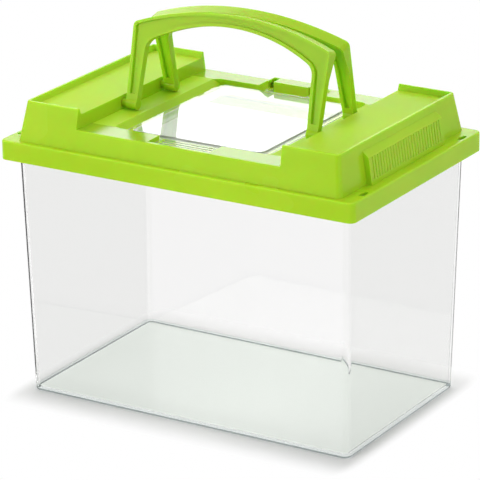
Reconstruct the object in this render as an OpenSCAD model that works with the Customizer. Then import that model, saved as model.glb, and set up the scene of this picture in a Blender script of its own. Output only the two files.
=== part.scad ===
// Faunarium: clear tank, green lift-off lid, clear feeding hatch and two fold-down handle bows.
// Millimetres, +Z up. The origin is the middle of the tank's underside, and -Y is the front.

/* [Tank] */
// Outside length of the tank under its flange
tank_l = 218.6; // [200:0.2:280]
// Outside width of the tank under its flange
tank_w = 138.6; // [125:0.2:180]
// Height of the tank
tank_h = 154.5; // [80:0.5:240]
// Thickness of the tank's walls
tank_wall = 2; // [1.5:0.1:3]
// Thickness of the tank's floor
tank_floor = 2.2; // [1.5:0.1:4]
// How far each end wall leans in from mouth to floor
end_taper = 2.75; // [0:0.25:6]
// How far each long wall leans in from mouth to floor
side_taper = 5.5; // [0:0.25:8]
// Radius of the tank's upright edges
tank_corner_r = 4.5; // [4:0.5:12]
// Radius of the edge round the underside
tank_base_r = 1.4; // [0.8:0.1:4.4]
// Radius of the edge round the inside of the floor
tank_floor_r = 1; // [0.4:0.1:2.4]
// How far the flange stands out round the mouth
flange_w = 4.4; // [3:0.2:7]
// Thickness of the flange
flange_t = 2.4; // [1.5:0.1:5]

/* [Lid] */
// Wall thickness of the lid moulding
lid_wall = 2; // [1.4:0.1:2.6]
// Gap between the flange's edge and the skirt
lid_fit = 0.6; // [0.3:0.1:1.5]
// Gap between the flange's top and the lid
lid_seat_gap = 0.2; // [0.1:0.1:0.5]
// Height of the skirt, from its lower edge to the ledge
skirt_h = 11.7; // [8:0.1:20]
// Radius of the skirt's corners
skirt_r = 4; // [3:0.5:7]
// Width of the ledge at each end
side_ledge = 10; // [7:0.5:14]
// Width of the ledge at the front and rear
front_ledge = 3.8; // [2:0.1:5]
// Height of the banks above the ledge
bank_h = 23.3; // [20.5:0.1:30]
// Width of each bank at the ledge
bank_w = 39.3; // [32:0.1:45]
// How far the banks' end walls lean in
side_lean = 3.5; // [1:0.1:6]
// How far the banks' front and rear walls lean in
front_lean = 4.7; // [1:0.1:8]
// Radius of the banks' upright edges
bank_corner_r = 3; // [2.8:0.2:6]
// Depth of the tray in each bank's top
tray_d = 3.5; // [1.5:0.1:5]
// Width of the lip round the tray
tray_lip = 1.6; // [1:0.1:4]
// How far the tray's walls lean
tray_lean = 1.3; // [0.5:0.1:4]
// Height of the platform between the banks above the ledge
platform_h = 11.8; // [10.5:0.1:14]

/* [Side vents] */
// Length of the vent on each end
vent_l = 86; // [50:1:92]
// Height of the vent above the ledge
vent_h = 18.8; // [16:0.1:19.5]
// How far the vent stands out from the bank
vent_proud = 3.4; // [2.5:0.1:5]
// Width of a vent slot
slot_w = 0.8; // [0.6:0.1:1.8]
// Distance from one vent slot to the next
slot_pitch = 3; // [2.6:0.1:5]
// Height of a vent slot
slot_h = 12.6; // [6:0.1:13]
// Height of the slots' lower ends above the ledge
slot_rise = 2.6; // [2.2:0.1:3]
// Length of a core slot in the end ledges
core_slot_l = 8; // [4:0.5:12]
// Width of a core slot
core_slot_w = 3; // [2:0.1:3.4]
// Gap from a core slot to the vent
core_slot_gap = 11; // [8:0.5:14]

/* [Deck and hatch] */
// Width of the platform strip that the bows stand on
strip_w = 15; // [13:0.5:18]
// Depth of the front sill at the ledge
sill_w = 17.5; // [16:0.5:22]
// Depth of the rear sill at the ledge
rear_sill_w = 15.5; // [15:0.5:22]
// Depth of the deck below the platform
deck_d = 4.3; // [4:0.1:4.8]
// How far the deck's end walls lean out towards the platform
deck_lean = 4.4; // [1:0.1:6]
// Radius of the deck's corners
deck_r = 5; // [2:0.5:8]
// Gap beside the hatch on the deck
hatch_side_gap = 0.9; // [0.5:0.1:3]
// Gap in front of the hatch
hatch_front_gap = 1.5; // [1:0.1:4]
// Gap behind the hatch
hatch_rear_gap = 1.4; // [1:0.1:4]
// Gap between the hatch and the deck
hatch_seat_gap = 0.3; // [0.2:0.1:0.5]
// Thickness of the hatch
hatch_t = 1.4; // [1:0.1:2]
// Height that the hatch's middle stands above its border
plateau_h = 1; // [0.6:0.1:1.2]
// Width of the hatch's border
border_w = 3; // [2:0.5:5]
// Radius of the hatch's corners
hatch_r = 5; // [3:0.5:8]
// How far the hatch overlaps the deck round the opening
hatch_lap = 2.7; // [2:0.1:9]
// Height of the locating rib under the hatch
rib_h = 4; // [2:0.5:6]
// Thickness of the locating rib
rib_t = 1.6; // [1:0.1:2.5]
// Gap between the locating rib and the opening
rib_fit = 0.6; // [0.4:0.1:1]
// Width of the finger tab
tab_w = 40; // [20:1:50]
// Gap beside the finger tab
tab_gap = 0.6; // [0.3:0.1:1]
// Gap for a fingernail in front of the finger tab
nail_gap = 2.4; // [1.5:0.1:4]
// Thickness of the sill's lip in front of the finger tab
tab_lip = 2; // [1.2:0.1:3]
// Number of grip ridges on the finger tab
tab_ridges = 4; // [2:1:5]
// Radius of a grip ridge
ridge_r = 0.4; // [0.2:0.05:0.5]

/* [Hatch hinge] */
// Width of the hinge block
block_w = 44; // [32:1:50]
// Height of the hinge block above the platform
block_h = 3.4; // [2.6:0.1:4]
// Length of the slope at each end of the hinge block
block_slope = 5.5; // [2:0.5:10]
// Depth of the hinge block
block_d = 9; // [8:0.5:11]
// Diameter of the hatch's hinge pins
hinge_pin_d = 3.2; // [2.4:0.1:3.6]
// Length of the hatch's hinge pins
hinge_pin_l = 3; // [2:0.5:4]
// Radial play of the hinge pins
hinge_play = 0.05; // [0.02:0.01:0.1]
// Thickness of the hatch's hinge ears
ear_t = 3; // [2:0.1:4]
// Gap beside the hinge ears
ear_gap = 0.5; // [0.3:0.1:1]

/* [Handle bows] */
// Distance of each bow's pins from the middle
pivot_y = 21; // [16:0.5:26]
// Radius of a bow's feet
foot_r = 3.2; // [3:0.1:4]
// Gap under the feet
foot_gap = 0.4; // [0.3:0.1:0.8]
// Gap from the legs to the banks
leg_gap = 2.2; // [1:0.1:4]
// Width of a leg under the arch
leg_w = 9.4; // [7:0.1:12]
// Width of a leg at its foot
foot_w = 7; // [5:0.1:9]
// Depth of the legs and the arch's band
bow_depth = 4.6; // [4:0.1:5.6]
// Height of the arch above the pins
bow_h = 59.3; // [48:0.1:70]
// Rise of the arch from corner to middle
bow_rise = 12.1; // [8:0.1:16]
// Height of the arch's band at the middle
band_h = 7.3; // [6:0.1:12]
// Rise of the arch's lower edge
gap_rise = 15.3; // [10:0.1:18]
// Radius of the outer corners
bow_r = 3.5; // [3:0.1:6]
// Radius of the corners between the legs
gap_r = 8; // [3:0.5:12]
// Thickness of the flanges along the edges
bow_flange = 1.8; // [1.2:0.1:2.4]
// Thickness of the web between the flanges
bow_web = 1.4; // [1:0.1:2]
// Depth of the grip, whose flange reaches back to the other bow
grip_depth = 8.3; // [6:0.1:11]
// Height over which the grip's flange runs out into the legs
grip_run = 16; // [8:0.5:22]
// Height of the solid foot above the pins
foot_h = 6; // [4.5:0.5:10]
// Diameter of the pins
bow_pin_d = 4.2; // [3:0.1:5]
// Radial play of the pins
bow_pin_play = 0.05; // [0.02:0.01:0.1]
// How far the pins reach past the bank's wall
bow_pin_end = 0.8; // [0:0.1:2]
// Gap past the pins' ends
bow_pin_room = 0.5; // [0.3:0.1:1]
// Gap between the two bows where they lean together
meet_gap = 0.6; // [0.4:0.1:2]

/* [Hidden] */
$fn = 32;
lime = [0.67, 0.83, 0.18];
clear = [0.86, 0.91, 0.88, 0.35];
// Facets of a circle as wide as the arches
wide_arc_fn = 128;
// Sections in the rounded edge under the tank
base_steps = 6;
// Overlap that joins solids and carries cuts through
eps = 0.02;

// Levels
z_ledge_under = tank_h + lid_seat_gap;
z_ledge = z_ledge_under + lid_wall;
z_skirt = z_ledge - skirt_h;
z_bank = z_ledge + bank_h;
z_tray = z_bank - tray_d;
z_platform = z_ledge + platform_h;
z_deck = z_platform - deck_d;
z_hatch = z_deck + hatch_seat_gap;
z_border = z_hatch + hatch_t;
z_vent = z_ledge + vent_h;
z_pivot = z_platform + foot_gap + foot_r;

// Plan sizes of the lid
lid_l = tank_l + 2 * (flange_w + lid_fit + lid_wall);
lid_w = tank_w + 2 * (flange_w + lid_fit + lid_wall);
body_l = lid_l - 2 * side_ledge;
body_w = lid_w - 2 * front_ledge;
bank_in = body_l / 2 - bank_w;
deck_top_l = 2 * (bank_in - strip_w);
deck_l = deck_top_l - 2 * deck_lean;
deck_front = body_w / 2 - sill_w;
deck_rear = body_w / 2 - rear_sill_w;
bay_front = sill_front(z_platform) - tab_lip;

// Plan sizes of the hatch, whose middle lies a little behind the lid's middle
hatch_l = deck_l - 2 * hatch_side_gap;
hatch_front = deck_front - hatch_front_gap;
hatch_rear = deck_rear - hatch_rear_gap;
hatch_w = hatch_front + hatch_rear;
hatch_y = (hatch_rear - hatch_front) / 2;
opening_l = hatch_l - 2 * hatch_lap;
opening_w = hatch_w - 2 * hatch_lap;

// Hinge of the hatch: its ears stand in notches of the block, and their pins point outwards along X
ear_r = block_d / 3;
hinge_y = deck_rear + block_d / 2;
hinge_z = z_hatch + ear_r;
pin_x = (block_w - block_slope) / 2 - ear_gap;
notch_x = pin_x - hinge_pin_l;
ear_x = notch_x - ear_gap - ear_t;

// Bows: half the span outside and inside the legs, and the lean at which the two grips meet
leg_out = bank_in - leg_gap;
leg_in = leg_out - leg_w;
foot_in = leg_in + (leg_w - foot_w) / 2;
foot_out = foot_in + foot_w;
bow_half = bow_depth / 2;
grip_back = grip_depth - bow_half;
bow_lean = asin((pivot_y - meet_gap / 2) / norm([bow_h, grip_back])) - atan(grip_back / bow_h);

// Distance from the middle to the bank's end wall at a height
function bank_end(z) = body_l / 2 - side_lean * (z - z_ledge) / bank_h;
// Distance from the middle to the lid's front wall at a height
function sill_front(z) = body_w / 2 - front_lean * (z - z_ledge) / bank_h;
// Radius of an arch from half its span and its rise
function arch_radius(half, rise) = (half * half + rise * rise) / (2 * rise);

// Rectangle with round corners, centred
module round_rect(l, w, r) {
    square([l - 2 * r, w], center = true);
    square([l, w - 2 * r], center = true);
    for (x = [-1, 1], y = [-1, 1])
        translate([x * (l / 2 - r), y * (w / 2 - r)]) circle(r);
}

// Upright plate with round corners from one height to another
module plate(l, w, r, z0, z1) {
    translate([0, 0, z0]) linear_extrude(z1 - z0) round_rect(l, w, r);
}

// Block between two X limits, two Y limits and two heights
module block(x, y, z) {
    translate([x[0], y[0], z[0]]) cube([x[1] - x[0], y[1] - y[0], z[1] - z[0]]);
}

// Solid along Y from an outline in X and Z
module along_y(l) {
    rotate([90, 0, 0]) linear_extrude(l, center = true) children();
}

// Solid along X from an outline in Y and Z
module along_x(l) {
    rotate([90, 0, 90]) linear_extrude(l, center = true) children();
}

// Box with leaning walls and a rounded edge below, lofted from its sections
module leaning_box(l, w, z0, z1, lean_l, lean_w, corner_r, base_r) {
    base_l = l - 2 * lean_l;
    base_w = w - 2 * lean_w;
    hull() {
        for (i = [0:base_steps]) {
            a = 90 * i / base_steps;
            inset = base_r * (1 - sin(a));
            z = z0 + base_r * (1 - cos(a));
            plate(base_l - 2 * inset, base_w - 2 * inset, corner_r - inset, z, z + eps);
        }
        plate(l, w, corner_r, z1 - eps, z1);
    }
}

// Block with leaning walls and round upright edges
module leaning_block(l, w, z0, z1, lean_l, lean_w, r) {
    hull() {
        plate(l, w, r, z0, z0 + eps);
        plate(l - 2 * lean_l, w - 2 * lean_w, r, z1 - eps, z1);
    }
}

module tank() color(clear) difference() {
    union() {
        leaning_box(tank_l, tank_w, 0, tank_h, end_taper, side_taper, tank_corner_r, tank_base_r);
        plate(tank_l + 2 * flange_w, tank_w + 2 * flange_w, tank_corner_r, tank_h - flange_t, tank_h);
    }
    leaning_box(tank_l - 2 * tank_wall, tank_w - 2 * tank_wall, tank_floor, tank_h + eps,
        end_taper, side_taper, tank_corner_r - tank_wall, tank_floor_r);
}

// Outline in X and Z of a vent that stands out from the bank's end, set back by a wall
module vent_outline(set_back) {
    face = vent_proud - set_back;
    top = z_vent - set_back;
    foot = z_ledge - (set_back > 0 ? lid_wall + eps : lid_wall / 2);
    inside = bank_end(z_bank) - 2 * lid_wall;
    brow = top - vent_proud;
    polygon([[inside, foot], [bank_end(foot) + face, foot], [bank_end(brow) + face, brow],
        [bank_end(top), top], [inside, top]]);
}

// Space over the deck, whose end walls lean, grown by a wall
module deck_space(grow) {
    low = deck_l / 2 + grow;
    high = deck_top_l / 2 + grow;
    floor_z = z_deck - grow;
    edge_z = z_platform - grow;
    intersection() {
        translate([0, (deck_rear - deck_front) / 2, 0])
            plate(2 * high, deck_front + deck_rear + 2 * grow, deck_r + grow, floor_z, z_bank);
        along_y(2 * body_w) polygon([[-low, floor_z], [low, floor_z], [high, edge_z], [high, z_bank],
            [-high, z_bank], [-high, edge_z]]);
    }
}

// Hollow under the banks, platform and deck
module lid_hollow() {
    roof = z_tray - lid_wall;
    side = lid_wall * 2;
    difference() {
        union() {
            leaning_block(body_l - side, body_w - side, z_ledge_under - eps, roof,
                body_l / 2 - bank_end(roof), body_w / 2 - sill_front(roof), bank_corner_r - lid_wall);
            for (s = [0, 1]) mirror([s, 0, 0]) along_y(vent_l - side) vent_outline(lid_wall);
        }
        middle = bank_in + lid_wall;
        block([-middle, middle], [-body_w, body_w], [z_platform - lid_wall, z_bank]);
        deck_space(lid_wall);
        bay = tab_w / 2 + tab_gap + lid_wall;
        block([-bay, bay], [-body_w, 0], [z_deck - lid_wall, z_bank]);
        hinge = block_w / 2 + lid_wall;
        block([-hinge, hinge], [0, deck_rear + block_d + lid_wall], [z_deck - lid_wall, z_bank]);
    }
    core = ear_x - ear_gap - lid_wall;
    block([-core, core], [deck_rear + lid_wall, deck_rear + block_d - lid_wall],
        [z_deck - lid_wall - eps, z_platform + block_h - lid_wall]);
}

// Shallow tray in a bank's top, open towards the middle
module tray() {
    open_x = bank_in - eps;
    lip_x = bank_end(z_bank) - tray_lip;
    lip_y = sill_front(z_bank) - tray_lip;
    top = z_bank + eps;
    intersection() {
        along_y(body_w) polygon([[open_x, z_tray], [lip_x - tray_lean, z_tray], [lip_x, top], [open_x, top]]);
        along_x(body_l) polygon([[tray_lean - lip_y, z_tray], [lip_y - tray_lean, z_tray], [lip_y, top],
            [-lip_y, top]]);
    }
}

// Row of upright slots through a vent
module vent_slots() {
    count = floor((vent_l - 2 * lid_wall - slot_w) / slot_pitch / 2);
    z0 = z_ledge + slot_rise;
    reach = [bank_end(z_bank), body_l / 2 + 2 * vent_proud];
    for (i = [-count:count])
        translate([0, i * slot_pitch, 0]) block(reach, [-slot_w / 2, slot_w / 2], [z0, z0 + slot_h]);
}

// Cuts that are alike at both ends of the lid
module lid_end_cuts() {
    tray();
    vent_slots();
    for (s = [-1, 1]) {
        translate([bank_in - eps, s * pivot_y, z_pivot]) rotate([0, 90, 0])
            cylinder(lid_wall + bow_pin_end + bow_pin_room + eps, r = bow_pin_d / 2 + bow_pin_play);
        slot_x = lid_l / 2 - lid_wall - core_slot_w / 2 - eps;
        slot_y = s * (vent_l / 2 + core_slot_gap + core_slot_l / 2);
        translate([slot_x, slot_y, 0])
            plate(core_slot_w, core_slot_l, core_slot_w / 2 - eps, z_ledge_under - eps, z_ledge + eps);
    }
}

// Outline in X and Z of the hinge block, sloping at its ends
module hinge_block_outline() {
    end = block_w / 2;
    top = z_platform + block_h;
    polygon([[-end, z_deck], [end, z_deck], [end, z_platform], [end - block_slope, top],
        [block_slope - end, top], [-end, z_platform]]);
}

// Finger bay in the front sill, and the notches and bores for the hatch's ears and pins
module sill_cuts() {
    bay = tab_w / 2 + tab_gap;
    block([-bay, bay], [-bay_front, eps - deck_front], [z_deck, z_bank]);
    for (s = [0, 1]) mirror([s, 0, 0]) {
        block([ear_x - ear_gap, notch_x], [deck_rear - eps, hinge_y + ear_r + ear_gap], [z_deck, z_bank]);
        translate([notch_x - eps, hinge_y, hinge_z]) rotate([0, 90, 0])
            cylinder(hinge_pin_l + ear_gap + eps, r = hinge_pin_d / 2 + hinge_play);
    }
}

module lid() color(lime) difference() {
    union() {
        difference() {
            union() {
                plate(lid_l, lid_w, skirt_r, z_skirt, z_ledge);
                leaning_block(body_l, body_w, z_ledge - eps, z_bank, side_lean, front_lean, bank_corner_r);
                for (s = [0, 1]) mirror([s, 0, 0]) along_y(vent_l) vent_outline(0);
            }
            block([-bank_in, bank_in], [-body_w, body_w], [z_platform, z_bank + eps]);
            deck_space(0);
        }
        translate([0, hinge_y, 0]) along_y(block_d) hinge_block_outline();
    }
    plate(lid_l - 2 * lid_wall, lid_w - 2 * lid_wall, skirt_r - lid_wall, z_skirt - eps, z_ledge_under);
    lid_hollow();
    translate([0, hatch_y, 0]) plate(opening_l, opening_w, hatch_r, z_skirt, z_bank);
    for (s = [0, 1]) mirror([s, 0, 0]) lid_end_cuts();
    sill_cuts();
}

// Ear with its pin, on the hatch's right
module hatch_ear() {
    translate([ear_x, hinge_y, hinge_z]) rotate([0, 90, 0]) cylinder(ear_t, r = ear_r);
    block([ear_x, ear_x + ear_t], [hatch_rear - border_w, hinge_y], [z_hatch, z_hatch + ear_r]);
    translate([ear_x + ear_t - eps, hinge_y, hinge_z]) rotate([0, 90, 0])
        cylinder(ear_gap + hinge_pin_l + eps, d = hinge_pin_d);
}

// Finger tab that lies in the sill's bay, with its grip ridges
module hatch_tab() {
    front = bay_front - nail_gap;
    block([-tab_w / 2, tab_w / 2], [-front, border_w - hatch_front], [z_hatch, z_border]);
    pitch = (front - hatch_front) / tab_ridges;
    for (i = [1:tab_ridges])
        translate([0, (i - 0.5) * pitch - front, z_border]) rotate([0, 90, 0])
            cylinder(tab_w - 2 * border_w, r = ridge_r, center = true);
}

module hatch() color(clear) {
    translate([0, hatch_y, 0]) {
        difference() {
            union() {
                plate(hatch_l, hatch_w, hatch_r, z_hatch, z_border);
                plate(hatch_l - 2 * border_w, hatch_w - 2 * border_w, hatch_r, z_hatch, z_border + plateau_h);
            }
            inner = 2 * (hatch_lap + rib_fit + rib_t);
            plate(hatch_l - inner, hatch_w - inner, hatch_r, z_hatch - eps, z_border + plateau_h - hatch_t);
        }
        rib_l = opening_l - 2 * rib_fit;
        rib_w = opening_w - 2 * rib_fit;
        difference() {
            plate(rib_l, rib_w, hatch_r, z_hatch - rib_h, z_hatch + eps);
            plate(rib_l - 2 * rib_t, rib_w - 2 * rib_t, hatch_r, z_hatch - rib_h - eps, z_hatch + 2 * eps);
        }
    }
    for (s = [0, 1]) mirror([s, 0, 0]) hatch_ear();
    hatch_tab();
}

// Area under an arch with round corners, on sides that lean from the corners to a floor
module arch_area(half, half_floor, radius, centre, r, floor_y) {
    y = centre + sqrt(pow(radius - r, 2) - pow(half - r, 2));
    touch = (half - r) * radius / (radius - r);
    polygon([[-half_floor, floor_y], [half_floor, floor_y], [half, y], [-half, y]]);
    for (s = [-1, 1]) translate([s * (half - r), y]) circle(r);
    intersection() {
        translate([0, centre]) circle(radius, $fn = wide_arc_fn);
        translate([-touch, y - eps]) square([2 * touch, radius]);
    }
}

// Area inside a bow's outer edge, drawn in by an inset
module bow_area(inset, floor_y) {
    radius = arch_radius(leg_out, bow_rise);
    arch_area(leg_out - inset, foot_out - inset, radius - inset, bow_h - radius, bow_r - inset, floor_y);
}

// Outline of a bow, drawn in from both its edges by an inset
module bow_outline(inset, floor_y) {
    radius = arch_radius(leg_in, gap_rise);
    difference() {
        bow_area(inset, floor_y);
        arch_area(leg_in + inset, foot_in + inset, radius + inset, bow_h - band_h - radius, gap_r + inset,
            floor_y - eps);
    }
}

// Flange along the arch that reaches back to the other bow and runs out into the legs
module grip_flange() {
    corner = bow_h - bow_rise;
    intersection() {
        translate([0, 0, -grip_back]) linear_extrude(grip_back) difference() {
            bow_area(0, 0);
            bow_area(bow_flange, -eps);
        }
        along_x(2 * leg_out) polygon([[corner - grip_run, -bow_half], [corner, -grip_back],
            [bow_h, -grip_back], [bow_h, 0], [corner - grip_run, 0]]);
    }
}

// One bow, drawn flat: Y runs up from its pins' axis and +Z is its outer face
module bow() {
    difference() {
        translate([0, 0, -bow_half]) linear_extrude(bow_depth) bow_outline(0, 0);
        for (s = [0, 1]) mirror([0, 0, s])
            translate([0, 0, bow_web / 2]) linear_extrude(bow_depth) bow_outline(bow_flange, foot_h);
    }
    grip_flange();
    for (s = [0, 1]) mirror([s, 0, 0]) {
        translate([foot_in, 0, 0]) rotate([0, 90, 0]) cylinder(foot_w, r = foot_r);
        translate([foot_out - eps, 0, 0]) rotate([0, 90, 0])
            cylinder(bank_in - foot_out + lid_wall + bow_pin_end + eps, d = bow_pin_d);
    }
}

// The bow at the front, leaning back on the other one
module leaning_bow() {
    translate([0, -pivot_y, z_pivot]) rotate([90 - bow_lean, 0, 0]) bow();
}

module front_handle() color(lime) leaning_bow();

module rear_handle() color(lime) mirror([0, 1, 0]) leaning_bow();

tank();
lid();
hatch();
front_handle();
rear_handle();
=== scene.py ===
# %% [markdown]
# # A small faunarium, dressed for its picture
# The real object is a clear moulded tank with a lime lid, a clear feeding hatch and two lime carrying bows
# that lean together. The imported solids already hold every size, so this lesson adds what solids can't say:
# soft moulded edges, polished and satin plastic, clear walls that bend light, and a studio to look at it
# all in. Lengths are in metres, as Blender takes them.

# %% Load the solids
import math

import bpy
from mathutils import Matrix, Vector


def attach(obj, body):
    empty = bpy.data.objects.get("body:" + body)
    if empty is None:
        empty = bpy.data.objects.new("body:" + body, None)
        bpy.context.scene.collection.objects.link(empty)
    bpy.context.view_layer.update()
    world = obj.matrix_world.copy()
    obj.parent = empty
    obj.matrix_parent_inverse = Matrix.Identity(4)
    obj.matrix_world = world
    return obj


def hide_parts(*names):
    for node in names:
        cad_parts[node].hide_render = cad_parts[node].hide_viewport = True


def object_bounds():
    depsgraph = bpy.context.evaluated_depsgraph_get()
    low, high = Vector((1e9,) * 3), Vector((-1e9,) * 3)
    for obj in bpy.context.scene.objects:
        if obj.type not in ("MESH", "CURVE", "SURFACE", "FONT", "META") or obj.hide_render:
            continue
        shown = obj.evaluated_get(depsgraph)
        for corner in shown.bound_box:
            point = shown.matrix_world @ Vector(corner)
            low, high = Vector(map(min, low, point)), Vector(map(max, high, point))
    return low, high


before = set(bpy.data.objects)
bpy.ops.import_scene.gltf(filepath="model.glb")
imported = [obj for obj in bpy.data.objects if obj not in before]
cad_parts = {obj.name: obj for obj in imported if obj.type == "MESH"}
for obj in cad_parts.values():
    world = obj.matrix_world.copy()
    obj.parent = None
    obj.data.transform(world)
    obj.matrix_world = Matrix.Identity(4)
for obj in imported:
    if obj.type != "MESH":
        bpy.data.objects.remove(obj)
bpy.ops.object.select_all(action="DESELECT")
cad_low, cad_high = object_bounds()
print("solids:", ", ".join(sorted(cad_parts)))
print("solid box in mm:", [round(1000 * side) for side in cad_high - cad_low])

# %% [markdown]
# ## The camera
# The picture was taken with a long lens from the front right and a little above. A camera can be turned by
# hand until the edges agree, but here its place was solved from the corners of the rim and the tank, so it
# is built from those numbers: a target inside the tank, a distance, two angles and a slight roll.

# %% Place the camera
TARGET = Vector((0.0085, -0.0164, 0.0991))
DISTANCE = 1.9085
AZIMUTH = math.radians(31.19)
ELEVATION = math.radians(19.46)
ROLL = math.radians(-0.48)
FOCAL_PIXELS = 3311.9
PICTURE_WIDTH = 480

along = math.cos(ELEVATION)
back = Vector((math.sin(AZIMUTH) * along, -math.cos(AZIMUTH) * along, math.sin(ELEVATION)))
bpy.ops.object.camera_add()
camera = bpy.context.object
camera.name = "camera"
camera.data.sensor_fit = "HORIZONTAL"
camera.data.lens = camera.data.sensor_width * FOCAL_PIXELS / PICTURE_WIDTH
turn = back.to_track_quat("Z", "Y").to_matrix().to_4x4() @ Matrix.Rotation(ROLL, 4, "Z")
camera.matrix_world = Matrix.Translation(TARGET + DISTANCE * back) @ turn
bpy.context.scene.camera = camera
print("lens in mm:", round(camera.data.lens, 1))

# %% [markdown]
# ## The lamps
# Product pictures like this one are made with large soft lamps. One above gives the soft shadow under the
# rim, one at the front left lifts the front, one at the right lifts the right end, and a small panel low at
# the back left shines on the polished level faces. Spot lamps would be simpler, but they draw hard shadows,
# and small hot spots on gloss.

# %% Light the studio
scene = bpy.context.scene
scene.view_settings.view_transform = "Standard"


def soft_box(name, place, aim, width, height, power):
    """An area lamp at a place, turned to face a point."""
    bpy.ops.object.light_add(type="AREA", location=place)
    lamp = bpy.context.object
    lamp.name = name
    lamp.data.shape = "RECTANGLE"
    lamp.data.size = width
    lamp.data.size_y = height
    lamp.data.energy = power
    lamp.rotation_euler = (Vector(place) - Vector(aim)).to_track_quat("Z", "Y").to_euler()


MIDDLE = (0.0, 0.0, 0.12)
soft_box("overhead_box", place=(-0.1, 0.3, 1.5), aim=MIDDLE, width=0.6, height=0.6, power=6)
soft_box("front_box", place=(-0.9, -1.5, 0.8), aim=MIDDLE, width=1.0, height=1.0, power=14.3)
soft_box("right_box", place=(1.6, -0.7, 0.6), aim=MIDDLE, width=1.0, height=1.0, power=7.2)
soft_box("back_panel", place=(-0.26, 0.43, 0.45), aim=(0.0, 0.0, 0.45), width=0.7, height=0.35, power=1.2)

# %% [markdown]
# ## The white tent
# Round the lamps stands a white tent, which is the world. The light that it throws on the object is kept
# low, so that colours come out about as they are written. Rays from the camera, and rays that leave gloss
# or clear plastic, find it white instead. At the front right, where it is open for the lens, that white is
# dimmer, so that glossy faces turned that way keep their colour. One strength for all rays would wash the
# plastic out or grey the background.


# %% Helpers for nodes
def feed(links, socket, value):
    """Sets a socket to a number, or links another node's output to it."""
    if isinstance(value, (int, float)):
        socket.default_value = value
    else:
        links.new(value, socket)


def reckon(nodes, links, operation, *values):
    """The result of a Math node."""
    node = nodes.new("ShaderNodeMath")
    node.operation = operation
    for socket, value in zip(node.inputs, values):
        feed(links, socket, value)
    return node.outputs[0]


def ramp(nodes, links, value, start, stop, curve="LINEAR"):
    """A number that goes with a value: start and stop are each a value and the number there."""
    node = nodes.new("ShaderNodeMapRange")
    node.interpolation_type = curve
    feed(links, node.inputs["Value"], value)
    for end, (given_value, number) in (("Min", start), ("Max", stop)):
        feed(links, node.inputs["From " + end], given_value)
        feed(links, node.inputs["To " + end], number)
    return node.outputs["Result"]


def mix_shaders(nodes, links, share, first, second):
    """The first shader where the share is 0 and the second where it is 1."""
    node = nodes.new("ShaderNodeMixShader")
    links.new(share, node.inputs["Fac"])
    links.new(first.outputs[0], node.inputs[1])
    links.new(second.outputs[0], node.inputs[2])
    return node.outputs[0]


def seen_by_eye(nodes, links):
    """1 for rays from the camera, or that see by gloss or through clear plastic, and 0 for the rest."""
    rays = nodes.new("ShaderNodeLightPath").outputs
    straight = reckon(nodes, links, "MAXIMUM", rays["Is Camera Ray"], rays["Is Glossy Ray"])
    return reckon(nodes, links, "MAXIMUM", straight, rays["Is Transmission Ray"])


# %% Surround it with white
WHITE = (1, 1, 1, 1)
TENT_GLOW = 0.52
NEAR_SIDE, NEAR_WHITE = -0.6, 0.4
FAR_SIDE, FAR_WHITE = 0.2, 1.0

world = bpy.data.worlds.new("white_tent")
scene.world = world
world.use_nodes = True
nodes, links = world.node_tree.nodes, world.node_tree.links
nodes.clear()
glow = nodes.new("ShaderNodeBackground")
glow.inputs["Color"].default_value = WHITE
glow.inputs["Strength"].default_value = TENT_GLOW
white = nodes.new("ShaderNodeBackground")
white.inputs["Color"].default_value = WHITE
way = nodes.new("ShaderNodeTexCoord")
behind = nodes.new("ShaderNodeVectorMath")
behind.operation = "DOT_PRODUCT"
behind.inputs[1].default_value = (-back.x, -back.y, 0)
links.new(way.outputs["Generated"], behind.inputs[0])
strength = ramp(nodes, links, behind.outputs["Value"], (NEAR_SIDE, NEAR_WHITE), (FAR_SIDE, FAR_WHITE))
links.new(strength, white.inputs["Strength"])
tent = mix_shaders(nodes, links, seen_by_eye(nodes, links), glow, white)
links.new(tent, nodes.new("ShaderNodeOutputWorld").inputs["Surface"])
print("world:", world.name)

# %% [markdown]
# ## The paper under the tank
# The tank stands on white paper, with a small soft shadow round its foot. Lamps that light paper until it
# is pure white would leave the object too bright, so here the paper is matt and has a glow that only the
# eye finds. Away from the tank the glow takes over, and the paper is plain white. Close to the foot it
# fades, and the matt paper shows the real shadow, which the glow's reach cuts off, sooner past the ends.
# Under the tank it comes back in part, as painted light, so that the tank's floor isn't dark.

# %% Lay the paper
PAPER_SIZE = 12.0
bpy.ops.mesh.primitive_plane_add(size=PAPER_SIZE)
floor = bpy.context.object
floor.name = "studio_floor"
paper = bpy.data.materials.new("white_paper")
paper.use_nodes = True
floor.data.materials.append(paper)
print("floor:", floor.name)

# %% Measure the way from the tank's foot
FOOT_HALF_L, FOOT_HALF_W = 0.1066, 0.0640
# END_SPREAD makes the glow take over sooner past the tank's ends, so that the shadow there is cut shorter.
END_SPREAD, SIDE_SPREAD = 2.4, 1.0

nodes, links = paper.node_tree.nodes, paper.node_tree.links
nodes.clear()
axes = nodes.new("ShaderNodeSeparateXYZ")
links.new(nodes.new("ShaderNodeTexCoord").outputs["Object"], axes.inputs[0])


def past_foot(axis, half, spread):
    """How far a point lies past the foot along one axis, which is below zero under the tank."""
    size = reckon(nodes, links, "ABSOLUTE", axes.outputs[axis])
    return reckon(nodes, links, "MULTIPLY_ADD", size, spread, -half * spread)


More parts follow.
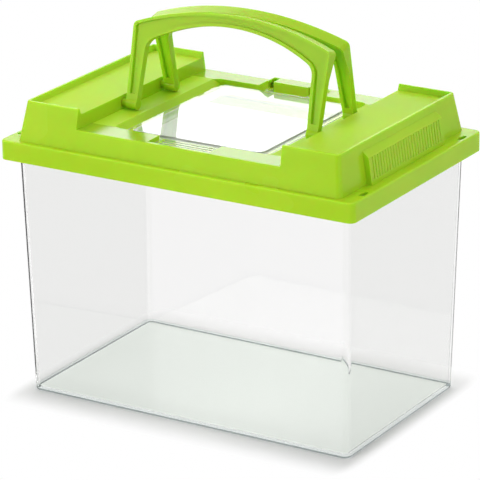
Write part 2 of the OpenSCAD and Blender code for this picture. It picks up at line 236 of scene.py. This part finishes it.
past_ends = past_foot("X", FOOT_HALF_L, END_SPREAD)
past_sides = past_foot("Y", FOOT_HALF_W, SIDE_SPREAD)
within = reckon(nodes, links, "MAXIMUM", past_ends, past_sides)
past_both = nodes.new("ShaderNodeCombineXYZ")
links.new(past_ends, past_both.inputs["X"])
links.new(past_sides, past_both.inputs["Y"])
outside = nodes.new("ShaderNodeVectorMath")
outside.operation = "MAXIMUM"
outside.inputs[1].default_value = (0, 0, 0)
links.new(past_both.outputs[0], outside.inputs[0])
away = nodes.new("ShaderNodeVectorMath")
away.operation = "LENGTH"
links.new(outside.outputs[0], away.inputs[0])
print("foot in mm:", round(2000 * FOOT_HALF_L), "x", round(2000 * FOOT_HALF_W))

# %% Mix matt paper and glow
PAPER_WHITE = (0.82, 0.82, 0.82, 1)
FOOT_GLOW = 0.03
SHADOW_REACH, FULL_GLOW = 0.027, 1.0
UNDER_REACH, UNDER_GLOW = -0.004, 0.42

at_foot = (0, FOOT_GLOW)
# Round the tank the glow is plain white from SHADOW_REACH on, which cuts the real shadow off there.
round_tank = ramp(nodes, links, away.outputs["Value"], at_foot, (SHADOW_REACH, FULL_GLOW), "SMOOTHSTEP")
# Under the tank the glow is painted light, which lifts the paper seen through the tank's floor.
painted_light_under_tank = ramp(nodes, links, within, at_foot, (UNDER_REACH, UNDER_GLOW), "SMOOTHSTEP")
share = reckon(nodes, links, "MAXIMUM", round_tank, painted_light_under_tank)
seen_share = reckon(nodes, links, "MULTIPLY", seen_by_eye(nodes, links), share)
sheet_matt = nodes.new("ShaderNodeBsdfDiffuse")
sheet_matt.inputs["Color"].default_value = PAPER_WHITE
sheet_glow = nodes.new("ShaderNodeEmission")
sheet = mix_shaders(nodes, links, seen_share, sheet_matt, sheet_glow)
links.new(sheet, nodes.new("ShaderNodeOutputMaterial").inputs["Surface"])
print("paper nodes:", len(nodes))

# %% [markdown]
# ## Pieces to dress
# A solid arrives as loose triangles, exact but sharp. It could be shown as it is, but nothing on it could
# then be rounded. So each solid is copied, the copy stands for it from here on, and its triangles are
# merged. On the lid and the hatch the flat ones are also joined into whole faces, so that a bevel runs
# cleanly along an edge.

# %% Copy the solids
MERGE_GAP = 0.000002
FLAT = math.radians(0.3)


def take_up(piece):
    """Selects one piece alone and makes it active."""
    bpy.ops.object.select_all(action="DESELECT")
    piece.select_set(True)
    bpy.context.view_layer.objects.active = piece


def moulded(name, node, join_flats=False):
    """A merged copy of a solid, which stands for it, with its flat faces joined where that is asked."""
    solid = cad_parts[node]
    piece = bpy.data.objects.new(name, solid.data.copy())
    piece.data.name = name
    scene.collection.objects.link(piece)
    take_up(piece)
    bpy.ops.mesh.customdata_custom_splitnormals_clear()
    bpy.ops.object.mode_set(mode="EDIT")
    bpy.ops.mesh.select_mode(type="EDGE")
    bpy.ops.mesh.select_all(action="SELECT")
    bpy.ops.mesh.remove_doubles(threshold=MERGE_GAP)
    if join_flats:
        bpy.ops.mesh.dissolve_limited(angle_limit=FLAT)
    bpy.ops.object.mode_set(mode="OBJECT")
    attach(piece, node)
    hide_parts(node)
    print(name, "faces:", len(piece.data.polygons))
    return piece


tank_shell = moulded("tank_shell", "tank")
lid_shell = moulded("lid_shell", "lid", join_flats=True)
hatch_plate = moulded("hatch_plate", "hatch", join_flats=True)
front_bow = moulded("front_bow", "front_handle")
rear_bow = moulded("rear_bow", "rear_handle")

# %% [markdown]
# ## Soft moulded edges
# No moulding has a knife edge: the tool leaves a small radius, and it is this radius that catches the light
# as a thin pale line. A Bevel modifier would round every sharp edge alike, also in the narrow slots and the
# pin holes, where there is no room for it. So edges are picked by their place: along the rim, the sills,
# the banks and the trays of the lid, and round the top of the hatch.

# %% Find places on the lid
SKIRT_FOOT, LEDGE, PLATFORM, TRAY, BANK_TOP = 0.145, 0.1567, 0.1685, 0.1765, 0.180
RIM_HALF_L, RIM_HALF_W, RIM_CORNER = cad_high.x, cad_high.y, 0.004
BANK_HALF_L, BANK_HALF_W, BANK_CORNER = 0.1028, 0.0678, 0.003
BANK_INSIDE = 0.067
SILL_EDGE = 0.0695
RIM_SLACK, BANK_SLACK = 0.0003, 0.0008
SAME_PLACE = 0.00001


def at(place, wanted):
    """Whether a place along an axis is the wanted one."""
    return abs(place - wanted) < SAME_PLACE


def beyond(point, half_l, half_w, radius):
    """How far a point lies outside an upright block with round corners."""
    over_x = max(abs(point.x) - half_l + radius, 0)
    over_y = max(abs(point.y) - half_w + radius, 0)
    return math.hypot(over_x, over_y) - radius


def on_rim(point):
    """Whether a point lies on the outside of the rim."""
    return beyond(point, RIM_HALF_L, RIM_HALF_W, RIM_CORNER) > -RIM_SLACK


def on_bank_edge(point):
    """Whether a point lies on the outer edge of a bank."""
    return beyond(point, BANK_HALF_L, BANK_HALF_W, BANK_CORNER) > -BANK_SLACK


print("points on the rim:", sum(on_rim(point.co) for point in lid_shell.data.vertices))

# %% Round the chosen edges
SHARP = math.radians(30)
LEDGE_RADIUS, SKIRT_RADIUS, SILL_RADIUS = 0.001, 0.0004, 0.0016
BANK_RADIUS, TRAY_RADIUS, HATCH_RADIUS = 0.0006, 0.0005, 0.00025
HATCH_TOP = 0.1669


def soften(piece, radius, segments, chosen):
    """Rounds the sharp edges of a piece whose two ends both pass a test."""
    take_up(piece)
    bpy.ops.object.mode_set(mode="EDIT")
    bpy.ops.mesh.select_mode(type="EDGE")
    bpy.ops.mesh.select_all(action="DESELECT")
    bpy.ops.mesh.edges_select_sharp(sharpness=SHARP)
    bpy.ops.object.mode_set(mode="OBJECT")
    mesh = piece.data
    picked = [edge.index for edge in mesh.edges
              if edge.select and all(chosen(mesh.vertices[end].co) for end in edge.vertices)]
    bpy.ops.object.mode_set(mode="EDIT")
    bpy.ops.mesh.select_all(action="DESELECT")
    bpy.ops.object.mode_set(mode="OBJECT")
    for index in picked:
        mesh.edges[index].select = True
    bpy.ops.object.mode_set(mode="EDIT")
    bpy.ops.mesh.bevel(offset=radius, segments=segments, affect="EDGES", clamp_overlap=False)
    bpy.ops.object.mode_set(mode="OBJECT")
    print(piece.name, "edges softened:", len(picked))


soften(lid_shell, LEDGE_RADIUS, segments=3, chosen=lambda p: at(p.z, LEDGE) and on_rim(p))
soften(lid_shell, SKIRT_RADIUS, segments=2, chosen=lambda p: at(p.z, SKIRT_FOOT) and on_rim(p))
soften(lid_shell, SILL_RADIUS, segments=4, chosen=lambda p: at(p.z, PLATFORM) and abs(p.y) > SILL_EDGE)
soften(lid_shell, BANK_RADIUS, segments=3, chosen=lambda p: at(p.z, BANK_TOP) and on_bank_edge(p))
soften(lid_shell, TRAY_RADIUS, segments=2, chosen=lambda p: at(p.z, TRAY) and at(abs(p.x), BANK_INSIDE))
soften(hatch_plate, HATCH_RADIUS, segments=2, chosen=lambda p: at(p.z, HATCH_TOP))

# %% [markdown]
# ## Lines where the finish changes
# A moulding tool is polished in one place and grained in the next, with a sharp border between them. A mask
# in the material could draw that border, but here each finish has its own faces, so a face that two
# finishes share is cut in two: the platform where its sills begin, and the tank's outer wall where the slab
# of its floor ends. The joined faces of the lid and the hatch are then split into triangles again, because
# programs don't all fill a face that winds round a hole alike. Last, smooth shading with weighted normals
# lets the round edges flow into broad faces that stay flat.

# %% Cut faces where the finish changes
SILL_START = 0.0545
SLAB_TOP = 0.0032
LEVEL = 0.97


def choose(piece, chosen):
    """Selects the faces that a test chooses, leaves the piece in edit mode and counts them."""
    take_up(piece)
    bpy.ops.object.mode_set(mode="EDIT")
    bpy.ops.mesh.select_mode(type="FACE")
    bpy.ops.mesh.select_all(action="DESELECT")
    bpy.ops.object.mode_set(mode="OBJECT")
    for face in piece.data.polygons:
        face.select = chosen(face.center, face.normal)
    bpy.ops.object.mode_set(mode="EDIT")
    return sum(face.select for face in piece.data.polygons)


def on_platform(centre, normal):
    """Whether a face is part of the low platform between the banks."""
    return at(centre.z, PLATFORM) and abs(centre.x) < BANK_INSIDE and normal.z > LEVEL


def outward(centre, normal):
    """Whether a face looks away from the middle."""
    return centre.x * normal.x + centre.y * normal.y > 0 and abs(normal.z) < LEVEL


for cut in (-SILL_START, SILL_START):
    choose(lid_shell, on_platform)
    bpy.ops.mesh.bisect(plane_co=(0, cut, 0), plane_no=(0, 1, 0))
    bpy.ops.object.mode_set(mode="OBJECT")
choose(tank_shell, outward)
bpy.ops.mesh.bisect(plane_co=(0, 0, SLAB_TOP), plane_no=(0, 0, 1))
bpy.ops.object.mode_set(mode="OBJECT")
for piece in (lid_shell, hatch_plate):
    choose(piece, lambda centre, normal: True)
    bpy.ops.mesh.quads_convert_to_tris(quad_method="BEAUTY", ngon_method="BEAUTY")
    bpy.ops.object.mode_set(mode="OBJECT")
    print(piece.name, "triangles:", len(piece.data.polygons))

# %% Shade the broad faces flat
for piece in (tank_shell, lid_shell, hatch_plate, front_bow, rear_bow):
    take_up(piece)
    bpy.ops.object.shade_smooth_by_angle(angle=SHARP)
    weigh = piece.modifiers.new("flat_faces", "WEIGHTED_NORMAL")
    weigh.keep_sharp = True
    bpy.ops.object.modifier_apply(modifier=weigh.name)
    print(piece.name, "smooth faces:", sum(face.use_smooth for face in piece.data.polygons))

# %% [markdown]
# ## Lime plastic
# The lid and the bows are one lime plastic, a little see-through, so thin and shaded parts glow a deeper
# green. That can be faked with colour, but subsurface scattering gives it wherever light comes through,
# with green travelling further than red. The walls and the bows are moderately glossy with faint flow
# streaks, the sills are polished, and the trays and the strips beside the hatch have a fine satin grain.
# These four finishes share one group that makes the marks of moulding, and the clear plastic uses it too.
# The sills' copy is darker, as painted shade, and the bows' copy is a little darker.

# %% Marks of moulding
NOISE_LOW, NOISE_HIGH = 0.3, 0.7
CLOUDS_PER_METRE = (14, 14, 22)
STREAKS_PER_METRE = (9, 9, 420)
GRAINS_PER_METRE = (1700, 1700, 1700)


def noise(nodes, links, place, per_metre, detail):
    """A noise with so many features per metre along each axis."""
    mapping = nodes.new("ShaderNodeMapping")
    mapping.inputs["Scale"].default_value = per_metre
    links.new(place, mapping.inputs["Vector"])
    pattern = nodes.new("ShaderNodeTexNoise")
    pattern.inputs["Scale"].default_value = 1.0
    pattern.inputs["Detail"].default_value = detail
    links.new(mapping.outputs[0], pattern.inputs["Vector"])
    return pattern.outputs["Fac"]


def between(nodes, links, pattern, low, high):
    """A number that runs from low to high over most of a noise."""
    return ramp(nodes, links, pattern, (NOISE_LOW, low), (NOISE_HIGH, high))


marks = bpy.data.node_groups.new("moulding_marks", "ShaderNodeTree")
for label in ("Low", "High"):
    marks.interface.new_socket(label, in_out="INPUT", socket_type="NodeSocketFloat")
for label in ("Cloud", "Streaks", "Grain", "Roughness"):
    marks.interface.new_socket(label, in_out="OUTPUT", socket_type="NodeSocketFloat")
nodes, links = marks.nodes, marks.links
given = nodes.new("NodeGroupInput")
made = nodes.new("NodeGroupOutput")
place = nodes.new("ShaderNodeTexCoord").outputs["Object"]
cloud = noise(nodes, links, place, CLOUDS_PER_METRE, detail=2.0)
links.new(cloud, made.inputs["Cloud"])
links.new(noise(nodes, links, place, STREAKS_PER_METRE, detail=2.0), made.inputs["Streaks"])
links.new(noise(nodes, links, place, GRAINS_PER_METRE, detail=1.0), made.inputs["Grain"])
rough = between(nodes, links, cloud, given.outputs["Low"], given.outputs["High"])
links.new(rough, made.inputs["Roughness"])
print("shared group:", marks.name)

# %% Mix the lime plastic
DEEP_LIME = (0.374, 0.588, 0.012)
PALE_LIME = (0.438, 0.643, 0.022)
RELIEF_DEPTH = 0.0002
SCATTER_SHARE = 0.8
SCATTER_REACH = (0.5, 2.2, 0.3)
SCATTER_DEPTH = 0.0025


def marked(nodes, links, shader, rough, mark, relief, depth):
    """Adds the marks of moulding to a shader, as roughness and as relief, and gives back their node."""
    group = nodes.new("ShaderNodeGroup")
    group.node_tree = marks
    group.inputs["Low"].default_value, group.inputs["High"].default_value = rough
    links.new(group.outputs["Roughness"], shader.inputs["Roughness"])
    bump = nodes.new("ShaderNodeBump")
    bump.inputs["Strength"].default_value = relief
    bump.inputs["Distance"].default_value = depth
    links.new(group.outputs[mark], bump.inputs["Height"])
    links.new(bump.outputs["Normal"], shader.inputs["Normal"])
    return group


def lime_plastic(name, tone, rough, shine, mark, relief):
    """Lime moulded plastic with a range of roughness and one kind of surface mark."""
    material = bpy.data.materials.new(name)
    material.use_nodes = True
    nodes, links = material.node_tree.nodes, material.node_tree.links
    shader = nodes["Principled BSDF"]
    group = marked(nodes, links, shader, rough, mark, relief, RELIEF_DEPTH)
    tint = nodes.new("ShaderNodeMix")
    tint.data_type = "RGBA"
    tint.inputs["A"].default_value = [part * tone for part in DEEP_LIME] + [1]
    tint.inputs["B"].default_value = [part * tone for part in PALE_LIME] + [1]
    links.new(between(nodes, links, group.outputs["Cloud"], 0.0, 1.0), tint.inputs["Factor"])
    links.new(tint.outputs["Result"], shader.inputs["Base Color"])
    shader.inputs["Specular IOR Level"].default_value = shine
    shader.inputs["Subsurface Weight"].default_value = SCATTER_SHARE
    shader.inputs["Subsurface Radius"].default_value = SCATTER_REACH
    shader.inputs["Subsurface Scale"].default_value = SCATTER_DEPTH
    return material


lime_wall = lime_plastic("lime_wall", tone=1.0, rough=(0.2, 0.3), shine=0.13, mark="Streaks", relief=0.15)
# The sills' tone of 0.8 is painted shade, which darkens these lit level faces.
lime_polish_painted_shade = lime_plastic("lime_polish_painted_shade", tone=0.8, rough=(0.15, 0.21), shine=0.5,
                           mark="Streaks", relief=0.05)
lime_bow = lime_plastic("lime_bow", tone=0.92, rough=(0.2, 0.3), shine=0.1, mark="Streaks", relief=0.1)
lime_satin = lime_plastic("lime_satin", tone=1.0, rough=(0.45, 0.6), shine=0.14, mark="Grain", relief=0.3)
print("lime finishes:", [finish.name for finish in (lime_wall, lime_polish_painted_shade, lime_bow, lime_satin)])

# %% Dress the lid and the bows
BLOCK_TOP = 0.1719
SILL_ROUND = 0.002
TRAY_SLACK, BANK_TOP_SLACK = 0.0001, 0.0002
FACING_UP = 0.3


def dress(piece, *finishes):
    """Gives a piece its finishes. Its faces have the first one until others are assigned."""
    piece.data.materials.clear()
    for finish in finishes:
        piece.data.materials.append(finish)


def assign(piece, finish, chosen):
    """Gives one of a piece's finishes to the faces that a test chooses."""
    count = choose(piece, chosen)
    piece.active_material_index = piece.data.materials.find(finish.name)
    bpy.ops.object.material_slot_assign()
    bpy.ops.object.mode_set(mode="OBJECT")
    print(piece.name, finish.name, "faces:", count)


def on_sill(centre, normal):
    """Whether a face is on a sill, on its round edge or on top of the hinge block."""
    on_top = at(centre.z, PLATFORM) and abs(centre.y) > SILL_START
    on_edge = abs(centre.y) > SILL_EDGE - SILL_ROUND and centre.z > PLATFORM - SILL_ROUND
    on_block = at(centre.z, BLOCK_TOP)
    return abs(centre.x) < BANK_INSIDE and (on_top or on_edge or on_block) and normal.z > FACING_UP


def on_satin(centre, normal):
    """Whether a face is in a tray or on a strip of the platform beside the hatch."""
    tray = abs(centre.x) > BANK_INSIDE and TRAY - TRAY_SLACK < centre.z < BANK_TOP - BANK_TOP_SLACK
    strip = on_platform(centre, normal) and abs(centre.y) < SILL_START
    return normal.z > FACING_UP and (tray or strip)


dress(lid_shell, lime_wall, lime_polish_painted_shade, lime_satin)
dress(front_bow, lime_bow)
dress(rear_bow, lime_bow)
# The sills get the darker copy, as painted shade.
assign(lid_shell, lime_polish_painted_shade, on_sill)
assign(lid_shell, lime_satin, on_satin)

# %% [markdown]
# ## Clear plastic
# The tank and the hatch are clear styrene, which is nearly colourless across a wall and faintly green along
# it. A transmission shader bends light at each face. With the bend of real styrene the tank's outlines turn
# into broad dark bands, so the tank bends light less, and a clear coat gives the gloss back. Its ends,
# which the eye meets at a slant, bend it least. An absorbing volume could give the green, but it goes wrong
# where a ray enters by one finish and leaves by another, so each kind of face has its own tint. Rays from
# the lamps pass with a small loss, so that the inside isn't dark. Near the foot they lose more, which
# deepens the shadow there. The ends' darker tint and the dark tint on the very foot are painted shade.

# %% Mix the clear plastic
TANK_BEND, END_BEND, HATCH_BEND, PIN_BEND = 1.2, 1.08, 1.5, 1.1
TANK_COAT, NO_COAT = 0.4, 0.0
MOST_LIGHT, ALL_LIGHT = 0.98, 1.0
CLEAR_ROUGH = (0.0, 0.02)
WAVE, WAVE_DEPTH = 0.02, 0.002


def clear_plastic(name, tint, clearness=1.0, passed=MOST_LIGHT, bend=TANK_BEND, coat=TANK_COAT):
    """Clear moulded plastic with a faint wave in its faces, which lets a share of the lamps' light pass."""
    material = bpy.data.materials.new(name)
    material.use_nodes = True
    nodes, links = material.node_tree.nodes, material.node_tree.links
    shader = nodes["Principled BSDF"]
    shader.inputs["Base Color"].default_value = (*tint, 1)
    shader.inputs["IOR"].default_value = bend
    shader.inputs["Transmission Weight"].default_value = clearness
    shader.inputs["Coat Weight"].default_value = coat
    marked(nodes, links, shader, CLEAR_ROUGH, "Cloud", WAVE, WAVE_DEPTH)
    through = nodes.new("ShaderNodeBsdfTransparent")
    through.inputs["Color"].default_value = (passed, passed, passed, 1)
    from_lamp = nodes.new("ShaderNodeLightPath").outputs["Is Shadow Ray"]
    surface = mix_shaders(nodes, links, from_lamp, shader, through)
    links.new(surface, nodes["Material Output"].inputs["Surface"])
    return material


clear_tank = clear_plastic("clear_tank", (0.955, 0.953, 0.952))
# The ends are tinted darker than the long walls, as painted shade.
clear_end_painted_shade = clear_plastic("clear_end_painted_shade", (0.865, 0.868, 0.86), bend=END_BEND)
clear_floor = clear_plastic("clear_floor", (0.93, 0.985, 0.925), passed=ALL_LIGHT)
clear_corner = clear_plastic("clear_corner", (0.93, 0.93, 0.925))
clear_edge = clear_plastic("clear_edge", (0.97, 0.98, 0.97))
clear_slab = clear_plastic("clear_slab", (0.82, 0.88, 0.87), clearness=0.85)
# A dark tint on the very foot paints a thin contact shadow line.
clear_foot_painted_shade = clear_plastic("clear_foot_painted_shade", (0.2, 0.25, 0.25), clearness=0.6)
clear_hatch = clear_plastic("clear_hatch", (0.88, 0.88, 0.885), bend=HATCH_BEND, coat=NO_COAT)
clear_rim = clear_plastic("clear_rim", (0.95, 0.97, 0.92), clearness=0.7, bend=HATCH_BEND, coat=NO_COAT)
clear_pin = clear_plastic("clear_pin", (0.9, 0.93, 0.85), bend=PIN_BEND, coat=NO_COAT)
TANK_FINISHES = (clear_tank, clear_corner, clear_floor, clear_edge, clear_foot_painted_shade, clear_end_painted_shade, clear_slab)
HATCH_FINISHES = (clear_hatch, clear_rim, clear_pin)
print("clear finishes:", [finish.name for finish in TANK_FINISHES + HATCH_FINISHES])

# %% Dim the lamps' light near the tank's foot
FOOT_LIGHT = 0.2
DIM_HEIGHT = 0.025
for finish in (clear_tank, clear_end_painted_shade, clear_corner):
    nodes, links = finish.node_tree.nodes, finish.node_tree.links
    axes = nodes.new("ShaderNodeSeparateXYZ")
    links.new(nodes.new("ShaderNodeTexCoord").outputs["Object"], axes.inputs[0])
    passed = ramp(nodes, links, axes.outputs["Z"], (0, FOOT_LIGHT), (DIM_HEIGHT, MOST_LIGHT))
    links.new(passed, nodes["Transparent BSDF"].inputs["Color"])
    print(finish.name, "nodes:", len(nodes))

# %% Dress the tank and the hatch
UPRIGHT = 0.5
CORNER = 0.2
END_ON = 0.8
FLOOR_TOP, FLOOR_SLACK = 0.0022, 0.0001
FILLET_LEAN, FILLET_HEIGHT = 0.05, 0.001
FOOT_TOP = 0.0014
PIN_START = 0.058


def on_end(centre, normal):
    """Whether a face looks along the length of the tank."""
    return abs(normal.x) > END_ON


def on_corner(centre, normal):
    """Whether a face is on a round upright corner."""
    return abs(normal.z) < UPRIGHT and min(abs(normal.x), abs(normal.y)) > CORNER


def on_floor(centre, normal):
    """Whether a face is the top or the underside of the tank's floor."""
    return abs(normal.z) > LEVEL and centre.z < FLOOR_TOP + FLOOR_SLACK


def on_fillet(centre, normal):
    """Whether a face is on the small fillet between the floor and the walls."""
    return FILLET_LEAN < normal.z < LEVEL and FLOOR_TOP < centre.z < FLOOR_TOP + FILLET_HEIGHT


def on_slab_edge(centre, normal):
    """Whether a face is outside, beside the floor."""
    return outward(centre, normal) and centre.z < SLAB_TOP


def on_foot(centre, normal):
    """Whether a face is outside, at the very foot."""
    return outward(centre, normal) and centre.z < FOOT_TOP


def on_side(centre, normal):
    """Whether a face stands upright."""
    return abs(normal.z) < UPRIGHT


def on_pin(centre, normal):
    """Whether a face is on the hatch's hinge, behind its plate."""
    return centre.y > PIN_START


dress(tank_shell, *TANK_FINISHES)
dress(hatch_plate, *HATCH_FINISHES)
assign(tank_shell, clear_end_painted_shade, on_end)
assign(tank_shell, clear_corner, on_corner)
assign(tank_shell, clear_floor, on_floor)
assign(tank_shell, clear_edge, on_fillet)
assign(tank_shell, clear_slab, on_slab_edge)
# The faces at the very foot get the painted contact shadow.
assign(tank_shell, clear_foot_painted_shade, on_foot)
assign(hatch_plate, clear_rim, on_side)
assign(hatch_plate, clear_pin, on_pin)

# %% Give the solids behind them the same plastics
# The solids are hidden. They get a plastic of the same kind for the case that one is shown again.
for node, finish in (("tank", clear_tank), ("hatch", clear_hatch), ("lid", lime_wall),
                     ("front_handle", lime_wall), ("rear_handle", lime_wall)):
    dress(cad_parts[node], finish)
    print(node, "has", finish.name)
